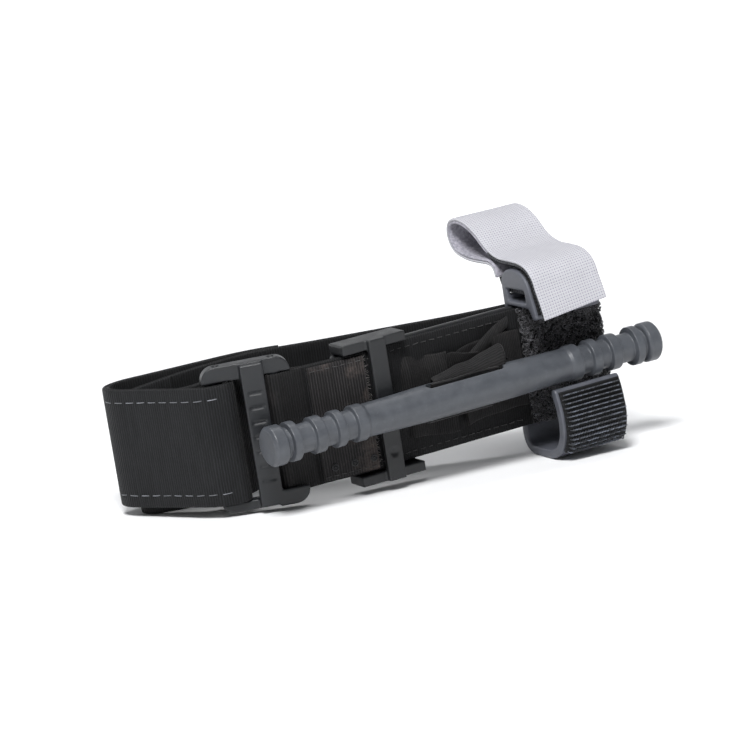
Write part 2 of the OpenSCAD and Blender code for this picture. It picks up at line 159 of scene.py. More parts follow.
class Route:
    """A smooth flat path that is sampled by the distance along it."""

    STEP = 0.1
    SMOOTH = 9

    def __init__(self, *runs):
        points = np.concatenate([np.asarray(r, float) for r in runs])
        keep = np.r_[True, np.linalg.norm(np.diff(points, axis=0), axis=1) > 1e-4]
        points = points[keep]
        lengths = distances(points)
        s = np.linspace(0, lengths[-1], max(8, int(lengths[-1] / self.STEP)))
        points = between(s, lengths, points)
        pad = self.SMOOTH // 2
        before = 2 * points[0] - points[pad:0:-1]
        after = 2 * points[-1] - points[-2:-pad - 2:-1]
        padded = np.concatenate([before, points, after])
        kernel = np.ones(self.SMOOTH) / self.SMOOTH
        self.points = np.stack([np.convolve(padded[:, k], kernel, "valid") for k in range(2)], 1)
        self.s = distances(self.points)
        self.length = self.s[-1]
        tangent = unit(np.gradient(self.points, axis=0))
        self.lefts = np.stack([-tangent[:, 1], tangent[:, 0]], 1)

    def at(self, s):
        return between(s, self.s, self.points)

    def left(self, s):
        return unit(between(s, self.s, self.lefts))

    def nearest(self, point):
        """The distance along the path of the point nearest to this one."""
        return self.s[np.argmin(np.linalg.norm(self.points - np.array(point, float), axis=1))]

    def stations(self, step, start=0.0, end=None):
        end = self.length if end is None else end
        return np.linspace(start, end, max(3, int(round((end - start) / step)) + 1))


def columns(width, step, edge=0.55):
    """Positions across a tape, close together at both edges."""
    near = edge * np.array([0, 0.12, 0.4, 1.0])
    middle = np.linspace(edge, width - edge, max(3, int(round((width - 2 * edge) / step)) + 1))
    return np.concatenate([near[:-1], middle, (width - near[:-1])[::-1]])


def beside(route, s, v, shift, wave):
    """Points left of a route by the shift and by a wave of the distances along and across."""
    side = np.full((len(s), len(v)), float(shift))
    if wave is not None:
        side = side + wave(s[:, None], v[None, :])
    return route.at(s)[:, None] + route.left(s)[:, None] * side[..., None]


def standing(route, s, v, shift, base=0.0, wave=None):
    """The centre surface of a tape that stands on its edge along a plan route."""
    low = base(s) if callable(base) else np.full(len(s), float(base))
    z = low[:, None] + v[None, :]
    return np.concatenate([beside(route, s, v, shift, wave), z[..., None]], -1)


def crossing(route, s, v, shift, x0, wave=None):
    """The centre surface of a strip whose width lies along x, on a route in (y, z)."""
    x = np.broadcast_to(x0 + v, (len(s), len(v)))
    return np.concatenate([x[..., None], beside(route, s, v, shift, wave)], -1)


def bspline(control, n):
    """A smooth open curve through the ends of its control rows, along the first axis."""
    c = np.asarray(control, float)
    c = np.concatenate([c[:1], c[:1], c, c[-1:], c[-1:]])
    spans = len(c) - 3
    t = np.linspace(0, spans - 1e-9, n)
    i = t.astype(int)
    f = (t - i).reshape((-1,) + (1,) * (c.ndim - 1))
    w = [(1 - f) ** 3, 3 * f ** 3 - 6 * f ** 2 + 4, -3 * f ** 3 + 3 * f ** 2 + 3 * f + 1, f ** 3]
    return sum(w[k] * c[i + k] for k in range(4)) / 6


def patch(control, nu, nv):
    """A smooth surface from a net of control points, (along, across, 3)."""
    rows = bspline(control, nu)
    return np.swapaxes(bspline(np.swapaxes(rows, 0, 1), nv), 0, 1)


# ---- mesh makers ----
def make_object(name, points, faces, material, attribute=None):
    """A smooth-shaded mesh object from pack points."""
    mesh = bpy.data.meshes.new(name)
    mesh.from_pydata(to_world(points).tolist(), [], faces)
    if attribute is not None:
        layer = mesh.attributes.new("weave", "FLOAT_VECTOR", "POINT")
        layer.data.foreach_set("vector", np.asarray(attribute, np.float32).ravel())
    mesh.shade_smooth()
    mesh.materials.append(material)
    obj = bpy.data.objects.new(name, mesh)
    bpy.context.scene.collection.objects.link(obj)
    return obj


def grid_faces(rows, cols):
    i, j = np.meshgrid(np.arange(rows - 1), np.arange(cols - 1), indexing="ij")
    a = (i * cols + j).ravel()
    return np.stack([a, a + cols, a + cols + 1, a + 1], 1)


def cloth(name, surface, thick, material, front=None, back=None, edge=0.55):
    """A closed sheet round a centre surface, with rounded selvedges and relief on either side.

    front and back are functions of the distances along and across that give a height."""
    rows, cols = surface.shape[:2]
    along = np.gradient(surface, axis=0)
    across = np.gradient(surface, axis=1)
    normal = unit(np.cross(along, across))
    u = distances(surface[:, cols // 2])
    v = distances(surface[rows // 2])
    width = v[-1]
    inward = np.clip(np.minimum(v, width - v) / edge, 0, 1)
    half = thick / 2 * np.sqrt(1 - (1 - inward) ** 2)
    uu, vv = np.meshgrid(u, v, indexing="ij")
    fade = np.clip(np.minimum(vv, width - vv) / (2.2 * edge), 0, 1)
    lift_front = half[None, :] + (front(uu, vv) * fade if front else 0)
    lift_back = half[None, :] + (back(uu, vv) * fade if back else 0)
    top = surface + normal * lift_front[..., None]
    low = surface - normal * lift_back[..., None]
    top[:, 0], top[:, -1] = surface[:, 0], surface[:, -1]
    inner = low[:, 1:-1]
    points = np.concatenate([top.reshape(-1, 3), inner.reshape(-1, 3)])
    front_at = np.arange(rows * cols).reshape(rows, cols)
    back_at = front_at.copy()
    back_at[:, 1:-1] = rows * cols + np.arange(rows * (cols - 2)).reshape(rows, cols - 2)
    quads = grid_faces(rows, cols)
    faces = quads.tolist() + back_at.ravel()[quads][:, ::-1].tolist()
    for row, flip in ((0, False), (rows - 1, True)):
        for j in range(cols - 1):
            ring = [front_at[row, j], front_at[row, j + 1], back_at[row, j + 1], back_at[row, j]]
            ring = [int(k) for n, k in enumerate(ring) if k != ring[n - 1]]
            faces.append(ring[::-1] if flip else ring)
    stamp = np.stack([uu, vv, np.ones_like(uu)], -1).reshape(-1, 3)
    under = np.stack([uu, vv, -np.ones_like(uu)], -1)[:, 1:-1].reshape(-1, 3)
    return make_object(name, points, faces, material, np.concatenate([stamp, under]))


def tube_faces(count, rings, sides):
    """Quads round each of several tubes, and a face over each of their ends."""
    start = (np.arange(count) * rings * sides)[:, None, None]
    i = (np.arange(rings - 1) * sides)[None, :, None]
    j = np.arange(sides)[None, None, :]
    after = (j + 1) % sides
    quads = np.stack(np.broadcast_arrays(start + i + j, start + i + after, start + i + sides + after,
                                         start + i + sides + j), -1).reshape(-1, 4)
    caps = start[:, 0] + np.arange(sides)[None, ::-1]
    ends = start[:, 0] + (rings - 1) * sides + np.arange(sides)[None, :]
    return quads.tolist() + caps.tolist() + ends.tolist()


def tubes(name, lines, radii, sides, material):
    """Many closed round fibres in one mesh, from an (m, k, 3) array of centre lines."""
    lines = np.asarray(lines, float)
    count, k = lines.shape[:2]
    radii = np.broadcast_to(np.asarray(radii, float), (count, k))
    tangent = unit(np.gradient(lines, axis=1))
    a = unit(np.cross(tangent, np.array([0.31, 0.22, 0.925])))
    b = np.cross(tangent, a)
    turn = np.arange(sides) * 2 * math.pi / sides
    ring = np.cos(turn)[:, None] * a[:, :, None] + np.sin(turn)[:, None] * b[:, :, None]
    points = lines[:, :, None] + radii[:, :, None, None] * ring
    length = np.broadcast_to(np.linspace(0, 1, k)[None, :, None], (count, k, sides))
    shade = np.broadcast_to(rng.random(count)[:, None, None], (count, k, sides))
    stamp = np.stack([length, shade, np.ones_like(length)], -1).reshape(-1, 3)
    return make_object(name, points.reshape(-1, 3), tube_faces(count, k, sides), material, stamp)


THREAD_R = 0.15
THREAD_LIFT = 0.04
STITCH_SHARE = 0.84


def stitches(name, path, material, pitch):
    """A row of lock stitches along a path of distances, points, lift directions and whole length."""
    lengths, points, normals, length = path
    sweep = np.linspace(-1, 1, 9)
    rise = THREAD_LIFT + 0.1 * np.cos(sweep * math.pi / 2) - 0.5 * np.abs(sweep) ** 6
    lines = []
    for n in range(int(length / pitch)):
        s = (n + 0.08 + STITCH_SHARE * (sweep + 1) / 2) * pitch
        p = between(s, lengths, points)
        p[:, 2] += rng.normal(0, 0.07) * sweep
        lines.append(p + between(s, lengths, normals) * rise[:, None])
    return tubes(name, lines, THREAD_R * np.array([0.5, 0.9, 1, 1, 1, 1, 1, 0.9, 0.5]), 6, material)


def along_route(route, start, end, shift, z, out):
    """A stitching path at height z beside a standing tape; out is +1 for left and -1 for right."""
    s = np.linspace(start, end, max(16, int((end - start) / 0.5)))
    n = route.left(s) * out
    p = route.at(s) + route.left(s) * shift
    points = np.concatenate([p, np.full((len(s), 1), float(z))], 1)
    normals = np.concatenate([n, np.zeros((len(s), 1))], 1)
    return s - start, points, normals, end - start


# ---- materials ----
def add_node(tree, kind, inputs=None, output=0, **settings):
    """Adds a shader node, with sockets or plain values on its inputs, and returns one output."""
    n = tree.nodes.new(kind)
    for key, value in settings.items():
        setattr(n, key, value)
    for key, value in (inputs or {}).items():
        if isinstance(value, bpy.types.NodeSocket):
            tree.links.new(value, n.inputs[key])
        else:
            n.inputs[key].default_value = value
    return n.outputs[output]


def rgba(colour):
    """A colour of three numbers with its alpha, and a socket as it is."""
    return colour if isinstance(colour, bpy.types.NodeSocket) else (*colour, 1)


class Look:
    """A node material, built by short calls that each return an output socket."""

    def __init__(self, name, roughness, **sockets):
        self.material = bpy.data.materials.new(name)
        self.material.use_nodes = True
        self.tree = self.material.node_tree
        self.shader = next(n for n in self.tree.nodes if n.type == "BSDF_PRINCIPLED")
        self.shader.inputs["Roughness"].default_value = roughness
        for key, value in sockets.items():
            self.shader.inputs[key.replace("_", " ")].default_value = value

    def node(self, kind, inputs=None, output=0, **settings):
        return add_node(self.tree, kind, inputs, output, **settings)

    def math(self, operation, a, b=0.0):
        return self.node("ShaderNodeMath", {0: a, 1: b}, operation=operation)

    def ramp(self, value, low, high, out_low=0.0, out_high=1.0):
        return self.node("ShaderNodeMapRange", {"Value": value, "From Min": low, "From Max": high,
                                                "To Min": out_low, "To Max": out_high})

    def mix(self, factor, a, b):
        """Blends two colours, each a socket or three numbers."""
        return self.node("ShaderNodeMix", {0: factor, 6: rgba(a), 7: rgba(b)}, 2, data_type="RGBA")

    def weave(self):
        """Distance along and across a cloth sheet in millimetres, or place along and shade of a fibre."""
        stamp = self.node("ShaderNodeAttribute", output="Vector", attribute_name="weave")
        parts = self.node("ShaderNodeSeparateXYZ", {0: stamp}).node.outputs
        return parts[0], parts[1]

    def place(self):
        """Place on the object in millimetres."""
        coords = self.node("ShaderNodeTexCoord", output="Object")
        return self.node("ShaderNodeMapping", {"Vector": coords, "Scale": (1 / MM, 1 / MM, 1 / MM)})

    def times(self, a, b):
        return self.math("MULTIPLY", a, b)

    def stretched(self, u, v, along, across):
        """A point on the cloth with its two distances scaled, for streaks and wandering lines."""
        return self.node("ShaderNodeCombineXYZ", {0: self.times(u, along), 1: self.times(v, across)})

    def noise(self, vector, scale, detail=4.0, roughness=0.6):
        return self.node("ShaderNodeTexNoise", {"Vector": vector, "Scale": scale, "Detail": detail,
                                                "Roughness": roughness})

    def waves(self, value, pitch):
        """0 to 1 and back over each pitch."""
        swing = self.math("COSINE", self.math("MULTIPLY", value, 2 * math.pi / pitch))
        return self.ramp(swing, -1.0, 1.0)

    def bump(self, height, distance, strength=1.0):
        out = self.node("ShaderNodeBump", {"Height": height, "Distance": distance * MM, "Strength": strength})
        previous = self.shader.inputs["Normal"].links
        if previous:
            self.tree.links.new(previous[0].from_socket, out.node.inputs["Normal"])
        self.set("Normal", out)

    def set(self, name, socket):
        """Links a socket to the shader's input of that name."""
        self.tree.links.new(socket, self.shader.inputs[name])


def grey(level, blue=0.0, brown=0.0):
    """A dark neutral, cooler with blue and warmer with brown."""
    return (level * (1 + brown), level * (1 + 0.35 * brown + 0.3 * blue), level * (1 + blue))


def webbing(name, base, light, worn=0.0, pitch=RIB_PITCH, brown=0.0, sheen=0.04):
    """Ribbed woven nylon: ribs across the tape with painted shade in their valleys and painted highlight on
    their crests, fine yarn along it, dusty and rubbed in places.
    """
    look = Look(name, 0.62, Sheen_Weight=sheen, Sheen_Roughness=0.45, Specular_IOR_Level=0.2)
    u, v = look.weave()
    wander = look.noise(look.stretched(u, v, 0.35, 0.8), 1.0, 2.0)
    ribs = look.waves(look.math("ADD", u, look.times(wander, 0.35)), pitch)
    yarn = look.waves(v, 0.42)
    fibre = look.noise(look.stretched(u, v, 1.6, 3.4), 1.0, 5.0, 0.75)
    streak = look.noise(look.stretched(u, v, 0.9, 0.05), 1.0, 3.0, 0.7)
    blotch = look.noise(look.place(), 0.09, 5.0, 0.65)
    speck = look.noise(look.place(), 1.7, 3.0, 0.7)
    # the rib term of this mask paints shade in the rib valleys and light on the rib crests; the yarn and
    # streak terms are the cloth's own tone
    raised = look.times(look.ramp(ribs, 0.15, 0.9, 0.05, 1.0), look.ramp(fibre, 0.3, 0.7, 0.25, 1.0))
    raised = look.times(raised, look.ramp(streak, 0.3, 0.65, 0.45, 1.0))
    cloth_colour = look.mix(raised, grey(base * 0.3, 0.15, brown), grey(light, 0.2, brown))
    rubbed = look.ramp(blotch, 0.52, 0.75, 0.0, 0.18 + 0.6 * worn)
    rubbed = look.times(rubbed, look.ramp(speck, 0.35, 0.65, 0.3, 1.0))
    rubbed_colour = grey(light * (1.6 + worn), 0.05, brown + 0.25 * worn)
    look.set("Base Color", look.mix(rubbed, cloth_colour, rubbed_colour))
    look.set("Roughness", look.ramp(fibre, 0.3, 0.7, 0.5, 0.78))
    look.bump(ribs, 0.09, 1.0)
    look.bump(look.math("ADD", look.times(yarn, 0.6), fibre), 0.07, 0.8)
    return look.material


def fibres(name, dark, pale, rough=0.55):
    """Separate yarns and curls: a little lighter from one to the next."""
    look = Look(name, rough, Sheen_Weight=0.2, Specular_IOR_Level=0.45)
    length, shade = look.weave()
    tip = look.times(look.ramp(length, 0.15, 0.8, 0.25, 1.0), look.ramp(shade, 0.2, 1.0, 0.1, 1.0))
    look.set("Base Color", look.mix(tip, dark, pale))
    look.bump(look.noise(look.place(), 6.0, 2.0), 0.03, 0.5)
    return look.material


def plastic(name, dark, pale, roughness, scuff):
    """Satin moulded nylon: cloudy fill, fine texture and scuffed, lighter high spots."""
    look = Look(name, roughness, Specular_IOR_Level=0.5)
    place = look.place()
    cloud = look.noise(place, 0.2, 4.0, 0.6)
    grain = look.noise(place, 3.2, 3.0, 0.7)
    pits = look.noise(place, 9.0, 2.0, 0.6)
    base = look.mix(look.ramp(cloud, 0.3, 0.7), dark, pale)
    rub = look.times(look.ramp(look.noise(place, 0.45, 6.0, 0.75), 0.55, 0.8), scuff)
    look.set("Base Color", look.mix(rub, base, tuple(min(1.0, c * 2.1) for c in pale)))
    texture = look.math("ADD", cloud, look.times(grain, 0.5))
    look.set("Roughness", look.ramp(texture, 0.5, 1.0, roughness - 0.08, roughness + 0.12))
    look.bump(grain, 0.035, 0.55)
    look.bump(pits, 0.02, 0.5)
    return look.material


def knit(name, ground, dot):
    """A pale knitted write-on face: rows of small dots on a flat ground."""
    look = Look(name, 0.8, Sheen_Weight=0.1, Specular_IOR_Level=0.25)
    u, v = look.weave()
    rows = look.waves(u, KNIT_ROW)
    dots = look.waves(v, KNIT_STITCH)
    fibre = look.noise(look.stretched(u, v, 1.6, 1.6), 1.5, 4.0, 0.7)
    low = look.times(look.ramp(rows, 0.55, 0.05), look.ramp(dots, 0.7, 0.15))
    low = look.times(low, look.ramp(fibre, 0.25, 0.6, 0.5, 1.0))
    soil = look.ramp(look.noise(look.place(), 0.12, 4.0, 0.6), 0.35, 0.75, 0.0, 0.3)
    ground_colour = look.mix(soil, ground, tuple(c * 0.8 for c in ground))
    look.set("Base Color", look.mix(low, ground_colour, dot))
    look.bump(look.math("ADD", look.times(rows, dots), look.times(fibre, 0.5)), 0.1, 0.8)
    return look.material


def fuzz(name, dark, pale):
    """A brushed, mottled backing."""
    look = Look(name, 0.85, Sheen_Weight=0.15, Specular_IOR_Level=0.2)
    place = look.place()
    tuft = look.noise(place, 0.9, 5.0, 0.75)
    cloud = look.noise(place, 0.16, 3.0, 0.6)
    raised = look.times(look.ramp(tuft, 0.35, 0.65), look.ramp(cloud, 0.3, 0.65, 0.45, 1.0))
    look.set("Base Color", look.mix(raised, dark, pale))
    look.bump(tuft, 0.2, 0.9)
    return look.material


WEBBING = webbing("webbing", 0.005, 0.013)
WORN = webbing("worn_webbing", 0.006, 0.016, worn=0.5, brown=0.12)
SLEEVE = webbing("sleeve_webbing", 0.008, 0.022)
PATCH = webbing("patch_webbing", 0.010, 0.036, worn=1.0, brown=0.22, pitch=0.9)
RIBBON = webbing("ribbon", 0.004, 0.020, worn=0.15, pitch=RIBBON_PITCH, brown=0.16, sheen=0.05)
TIP = webbing("tip_tab", 0.018, 0.045, pitch=0.9)
KNIT = knit("knitted_face", (0.44, 0.44, 0.47), (0.18, 0.17, 0.22))
BACKING = webbing("strap_backing", 0.05, 0.11, pitch=1.1)
BRUSHED = fuzz("brushed_backing", (0.20, 0.195, 0.23), (0.50, 0.49, 0.55))
HOOKBASE = webbing("hook_ground", 0.008, 0.016, pitch=1.3)
HOOKS = fibres("hook_fibres", (0.012, 0.014, 0.018), (0.15, 0.17, 0.215), 0.42)
PILE = fibres("pile_fibres", (0.003, 0.003, 0.004), (0.13, 0.13, 0.145), 0.5)
PALE_THREAD = fibres("pale_thread", (0.10, 0.105, 0.115), (0.24, 0.25, 0.28))
DARK_THREAD = fibres("dark_thread", (0.012, 0.012, 0.013), (0.055, 0.054, 0.054))
WORN_FIBRE = fibres("worn_fibre", (0.02, 0.018, 0.017), (0.11, 0.10, 0.095))
ROD = plastic("satin_rod_plastic", (0.046, 0.050, 0.058), (0.066, 0.072, 0.083), 0.40, 0.25)
CLIP = plastic("satin_clip_plastic", (0.064, 0.068, 0.082), (0.092, 0.097, 0.116), 0.46, 0.15)
BUCKLE = plastic("satin_buckle_plastic", (0.007, 0.008, 0.010), (0.011, 0.0125, 0.015), 0.44, 0.10)
PLATE = plastic("satin_plate_plastic", (0.006, 0.007, 0.008), (0.011, 0.012, 0.014), 0.44, 0.15)


# ---- relief ----
def ribbed(pitch=RIB_PITCH, height=0.10):
    """Ribs that run across a tape."""
    return lambda u, v: height * (0.5 + 0.5 * np.cos(2 * math.pi * u / pitch))


def knitted(u, v):
    """Rows of dots on the write-on face."""
    return 0.05 + 0.05 * np.cos(2 * math.pi * u / KNIT_ROW) * np.cos(2 * math.pi * v / KNIT_STITCH)


def ripple(size, along, across, phase=0.0):
    """A loose unevenness of a tape, zero at neither edge."""
    def wave(s, v):
        slow = np.sin(s / along + phase)
        quick = np.sin(s / (along * 0.43) + v / across + phase * 1.7)
        return size * (slow * 0.6 + quick * 0.4)
    return wave


# ---- routes, pack millimetres ----
LOOP_BAR = (9.4, 0.0)
LOOP_R = 2.1 + 0.12 + TAPE_T / 2
SEC_IN = np.array([-47.6, -1.9])
SEC_OUT = np.array([-27.2, -4.1])
SEC_DIR = (SEC_OUT - SEC_IN) / np.linalg.norm(SEC_OUT - SEC_IN)
SEC_LEFT = np.array([-SEC_DIR[1], SEC_DIR[0]])
FOLD_LEFT = (-82.7, 39.2)
SLOT_WAY = at_buckle([[-8.0, 12.6], [-1.0, 13.0], [-1.0, 9.6], [-1.0, 7.6], [-3.8, 6.6], [-3.9, 4.85]])

section_run = [SEC_IN, SEC_OUT]
bar_run = bez((-26.2, -4.2), (-22, -4.0), (-18, -2.0), (-12.6, FRONT_Y))
right_fold = bez((FOLD_X + 1.6, FRONT_Y), (FOLD_X + 5.8, FRONT_Y), (FOLD_X + 5.8, 5.1), (FOLD_X + 1.2, 5.4))
back_run = chain(
    (FOLD_X + 1.1, 5.4), (52, 5.9), (41, 5.4), (28.7, 7.3), (14, 9.6), (-6, 19.6), (-20.4, 24.2),
    (-33, 28.4), (-41, 34.6), (-52, 35.9), (-62, 37.0), (-72, 38.2), FOLD_LEFT)
inner_fold = chain(
    FOLD_LEFT, (-89.7, 39.8), (-92.2, 36.4), (-91.2, 33.2), (-90.1, 30.2), (-87.8, 28.4), (-85.2, 26.4))
inner_run = chain((-85.2, 26.4), (-82.0, 23.6), (-79.4, 20.2), (-75.6, 18.2), *SLOT_WAY)
turn_run = at_buckle(np.concatenate([
    [[-4.0, 4.4], [-4.25, 1.5]],
    arc((-7.6, -0.2), 3.25, 0, -86),
    [[-10.8, -3.5], [-13.0, -3.2], [-14.6, -2.3]]]))
outer_run = bez(turn_run[-1], (-82.4, 8.4), (-86.8, 17.4), (-92.0, 26.2))
outer_fold = chain(
    (-92.0, 26.2), (-94.6, 30.6), (-97.2, 34.0), (-96.4, 37.8), (-95.4, 42.2), (-90.6, 43.8), (-84.8, 43.0))
tail_run = chain(
    (-84.8, 43.0), (-77, 41.9), (-66, 41.0), (-55, 39.7), (-48, 38.9), (-42.4, 36.9), (-36.6, 33.6))

# the long sheet runs from the sewn loop to the left fold, the short one on through the buckle to the tip
LONG = Route(section_run, bar_run, [(FOLD_X, FRONT_Y)], right_fold, back_run)
LONG_END = LONG.nearest((-74.0, 38.2))
SHORT = Route(back_run[-20:], inner_fold, inner_run, turn_run, outer_run, outer_fold, tail_run)
SHORT_START = SHORT.nearest((-74.0, 38.2))
CLIP_BAND = LONG.nearest((30.0, FRONT_Y))
FOLD_FROM = LONG.nearest((FOLD_X, FRONT_Y))
FOLD_TO = LONG.nearest((52.0, 5.8))
OUTER_FROM = SHORT.nearest(outer_run[0])
OUTER_TO = SHORT.nearest(outer_run[-1])
TAIL_FROM = SHORT.nearest(tail_run[0])


def long_base(s):
    """Height of the long sheet's lower edge: it sinks toward the left fold."""
    return -FOLD_DROP * np.clip((s - LONG.nearest((-40, 34))) / 45, 0, 1) ** 2 * 0.75


def short_base(s):
    """The inner fold hangs low, and the band is level again from the buckle on."""
    fold = SHORT.nearest(inner_fold[20])
    slot = SHORT.nearest(turn_run[0])
    entry = long_base(LONG_END)
    rise = np.clip((s - SHORT_START) / (fold - SHORT_START), 0, 1)
    drop = entry + (-FOLD_DROP - entry) * rise
    back_up = np.clip((s - fold) / (slot - fold), 0, 1)
    return drop * (1 - back_up * back_up * (3 - 2 * back_up))


# ---- where pieces belong ----
def stands_for(nodes):
    """Hides the CAD nodes that a piece takes the place of."""
    if nodes:
        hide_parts(*nodes)


def fixed(piece, body, slot, *nodes):
    """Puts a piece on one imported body."""
    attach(piece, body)
    stands_for(nodes)
    return piece


def to_buckle(piece, slot, *nodes):
    """Bakes a piece where it stands, attached to no body, and hides the CAD nodes that it takes the place of.
    """
    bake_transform(piece)
    stands_for(nodes)


# ---- band ----
def tape(name, route, start, end, side, material, thick=TAPE_T, base=0.0, wave=None, width=BAND_W, ribs=True):
    """One woven tape along a route, between two distances."""
    s = route.stations(RIB_PITCH / 4 if ribs else 1.1, start, end)
    v = columns(width, 2.4)
    surface = standing(route, s, v, side, base, wave)
    relief = ribbed() if ribs else None
    return cloth(name, surface, thick, material, relief, relief)


LONG_START = 0.15
SHORT_END = SHORT.length - 0.5
long_shape = {"base": long_base, "wave": ripple(0.16, 9.0, 12.0)}
face_long = tape("band_face", LONG, LONG_START, LONG_END, -TAPE_GAP, WEBBING, **long_shape)
liner_long = tape("band_liner", LONG, LONG_START, LONG_END, TAPE_GAP, WEBBING, ribs=False, **long_shape)
face_short = tape("run_face", SHORT, SHORT_START, SHORT_END, TAPE_GAP, SLEEVE, base=short_base)
liner_short = tape("run_liner", SHORT, SHORT_START, SHORT_END, -TAPE_GAP, WEBBING, base=short_base, ribs=False)
fixed(face_long, "pack", "webbing", "section_face_tape", "clip_band_face", "right_fold", "back_run_face")
fixed(liner_long, "pack", "webbing", "section_liner_tape", "clip_band_liner", "back_run_liner")
to_buckle(face_short, "sleeve_webbing", "outer_run_face", "outer_fold", "tail_face", "inner_fold",
          "buckle_uturn")
to_buckle(liner_short, "webbing", "outer_run_liner", "tail_liner", "inner_run")

# sewn loop round the right bar of the buckle
loop = Route([SEC_IN - SEC_LEFT * 0.62], at_buckle(arc(LOOP_BAR, LOOP_R, 294.5, 181)),
             at_buckle(arc(LOOP_BAR, LOOP_R, 179, 78)), [SEC_IN + SEC_LEFT * 0.62])
buckle_loop = tape("buckle_loop", loop, 0.1, loop.length - 0.1, 0.0, WORN)
fixed(buckle_loop, "pack", "webbing", "buckle_loop")

# worn reinforcement patch sewn on the section, with a frayed right end
PATCH_W = BAND_W - 1.4
SECTION = Route([SEC_IN + SEC_DIR * 0.8, SEC_IN + SEC_DIR * 20.2])
patch_piece = tape("section_patch", SECTION, 0.3, SECTION.length - 0.2, -1.62, PATCH, thick=0.8, base=0.7,
                   width=PATCH_W, wave=ripple(0.10, 3.1, 7.0, 0.6))
fixed(patch_piece, "pack", "worn_webbing", "section_patch")


def frayed_end():
    """Loose weft ends at the patch's right edge."""
    count = 92
    z = np.linspace(1.4, BAND_W - 1.6, count) + rng.normal(0, 0.12, count)
    t = np.linspace(0, 1, 7)[:, None]
    root = SECTION.at(SECTION.length - 0.5) - SECTION.left(SECTION.length) * 1.72
    lines = []
    for height in z:
        reach = rng.uniform(0.5, 1.7)
        plan = root + SEC_DIR * reach * t - SEC_LEFT * rng.uniform(-0.1, 0.5) * t ** 2
        lines.append(np.concatenate([plan, height + rng.normal(0, 0.5) * t ** 2], 1))
    return tubes("patch_fray", lines, 0.09 * np.array([1, 1, 1, 1, 0.9, 0.8, 0.4]), 4, WORN_FIBRE)


fixed(frayed_end(), "pack", "worn_webbing")


def section_pips():
    """Three small moulded pips low on the patch, each a ring with a dome in it."""
    along, up, out = np.array([*SEC_DIR, 0.0]), np.array([0, 0, 1.0]), np.array([*(-SEC_LEFT), 0.0])
    turn = np.linspace(0, 2 * math.pi, 20)[:, None]
    ring = np.cos(turn) * along + np.sin(turn) * up
    lines = []
    for k in range(3):
        plan = SEC_IN + SEC_DIR * (5.2 + 6.6 * k) - SEC_LEFT * 2.2
        centre = np.array([*plan, 4.6])
        lines += [centre + 0.95 * ring, centre + out * 0.05 + 0.3 * ring]
    return tubes("section_pips", lines, 0.26, 8, PLATE)


fixed(section_pips(), "pack", "worn_webbing")

# rows of stitches: route, from, to, shift, side, inset from the band's edges, thread, pitch, order drawn
SEAMS = {
    "loop": (SECTION, 0.4, SECTION.length - 0.6, -2.0, -1, (2.0, 2.1), DARK_THREAD, 2.6, ("low", "high")),
    "outer": (SHORT, OUTER_FROM - 6, OUTER_TO + 16, 1.15, 1, (4.0, 4.0), PALE_THREAD, 4.2, ("low", "high")),
    "tail": (SHORT, TAIL_FROM - 1, SHORT.length - 4, 1.15, 1, (4.0, 4.0), DARK_THREAD, 3.4, ("low", "high")),
    "back": (LONG, FOLD_TO + 6, LONG_END - 2, -1.15, -1, (3.4, 3.4), DARK_THREAD, 3.4, ("low", "high")),
    "front": (LONG, 21, CLIP_BAND, -1.15, -1, (2.4, 2.4), DARK_THREAD, 3.0, ("high", "low")),
}
STITCH_NODES = {"loop_stitch_low": ["loop_stitching"], "outer_stitch_low": ["outer_run_stitching"]}
for seam, (route, start, end, shift, out, inset, thread, pitch, order) in SEAMS.items():
    heights = {"low": inset[0], "high": BAND_W - inset[1]}
    for edge_name in order:
        name = f"{seam}_stitch_{edge_name}"
        row = stitches(name, along_route(route, start, end, shift, heights[edge_name], out), thread, pitch)
        if seam == "outer":
            to_buckle(row, "pale_thread", *STITCH_NODES.get(name, []))
        else:
            fixed(row, "pack", "dark_thread", *STITCH_NODES.get(name, []))

# folded and sewn tip of the tail
tail_end = SHORT.at(SHORT.length)
tail_left = SHORT.left(SHORT.length)
tail_dir = np.array([tail_left[1], -tail_left[0]])
TIP_ROUTE = Route([tail_end - tail_dir * 1.4, tail_end + tail_dir * 5.4])
tip_surface = standing(TIP_ROUTE, TIP_ROUTE.stations(0.22), columns(BAND_W - 4.0, 1.6), 0.3, 2.0,
                       lambda s, v: 0.12 * np.sin(s * 1.9) + 0 * v)
tip = cloth("tail_tip", tip_surface, 2.9, TIP, ribbed(0.9), ribbed(0.9), edge=1.2)
fixed(tip, "pack", "tip_tab", "tail_tip")


# ---- loop pile ----
CURL_RISE = 1.2
CURL_REACH = 0.75
CURL_R = 0.15


def curls(name, count, places):
    """Curly loops standing at places: points, outward directions and two tangents."""
    points, out, side, up = places
    t = np.linspace(0, 1, 9)
    turn = rng.uniform(0, 2 * math.pi, count)[:, None] + t * rng.uniform(3.2, 5.6, count)[:, None]
    reach = CURL_REACH * rng.uniform(0.6, 1.3, count)[:, None] * np.sin(math.pi * t) ** 0.6
    rise = CURL_RISE * rng.uniform(0.35, 1.0, count)[:, None] * np.sin(math.pi * t)
    lines = (points[:, None] + side[:, None] * (reach * np.cos(turn))[..., None]
             + up[:, None] * (reach * np.sin(turn))[..., None] + out[:, None] * (rise - 0.1)[..., None])
    return tubes(name, lines, CURL_R * np.array([0.6, 1, 1, 1, 1, 1, 1, 1, 0.6]), 4, PILE)


def on_long(count, start, end, shift):
    """Random places on the outer side of the long sheet."""
    s = rng.uniform(start, end, count)
    n = LONG.left(s)
    z = rng.uniform(0.5, BAND_W - 0.4, count)
    points = np.concatenate([LONG.at(s) + n * shift, z[:, None]], 1)
    out = np.concatenate([-n, np.zeros((count, 1))], 1)
    side = np.stack([n[:, 1], -n[:, 0], np.zeros(count)], 1)
    return points, out, side, np.tile([0, 0, 1.0], (count, 1))


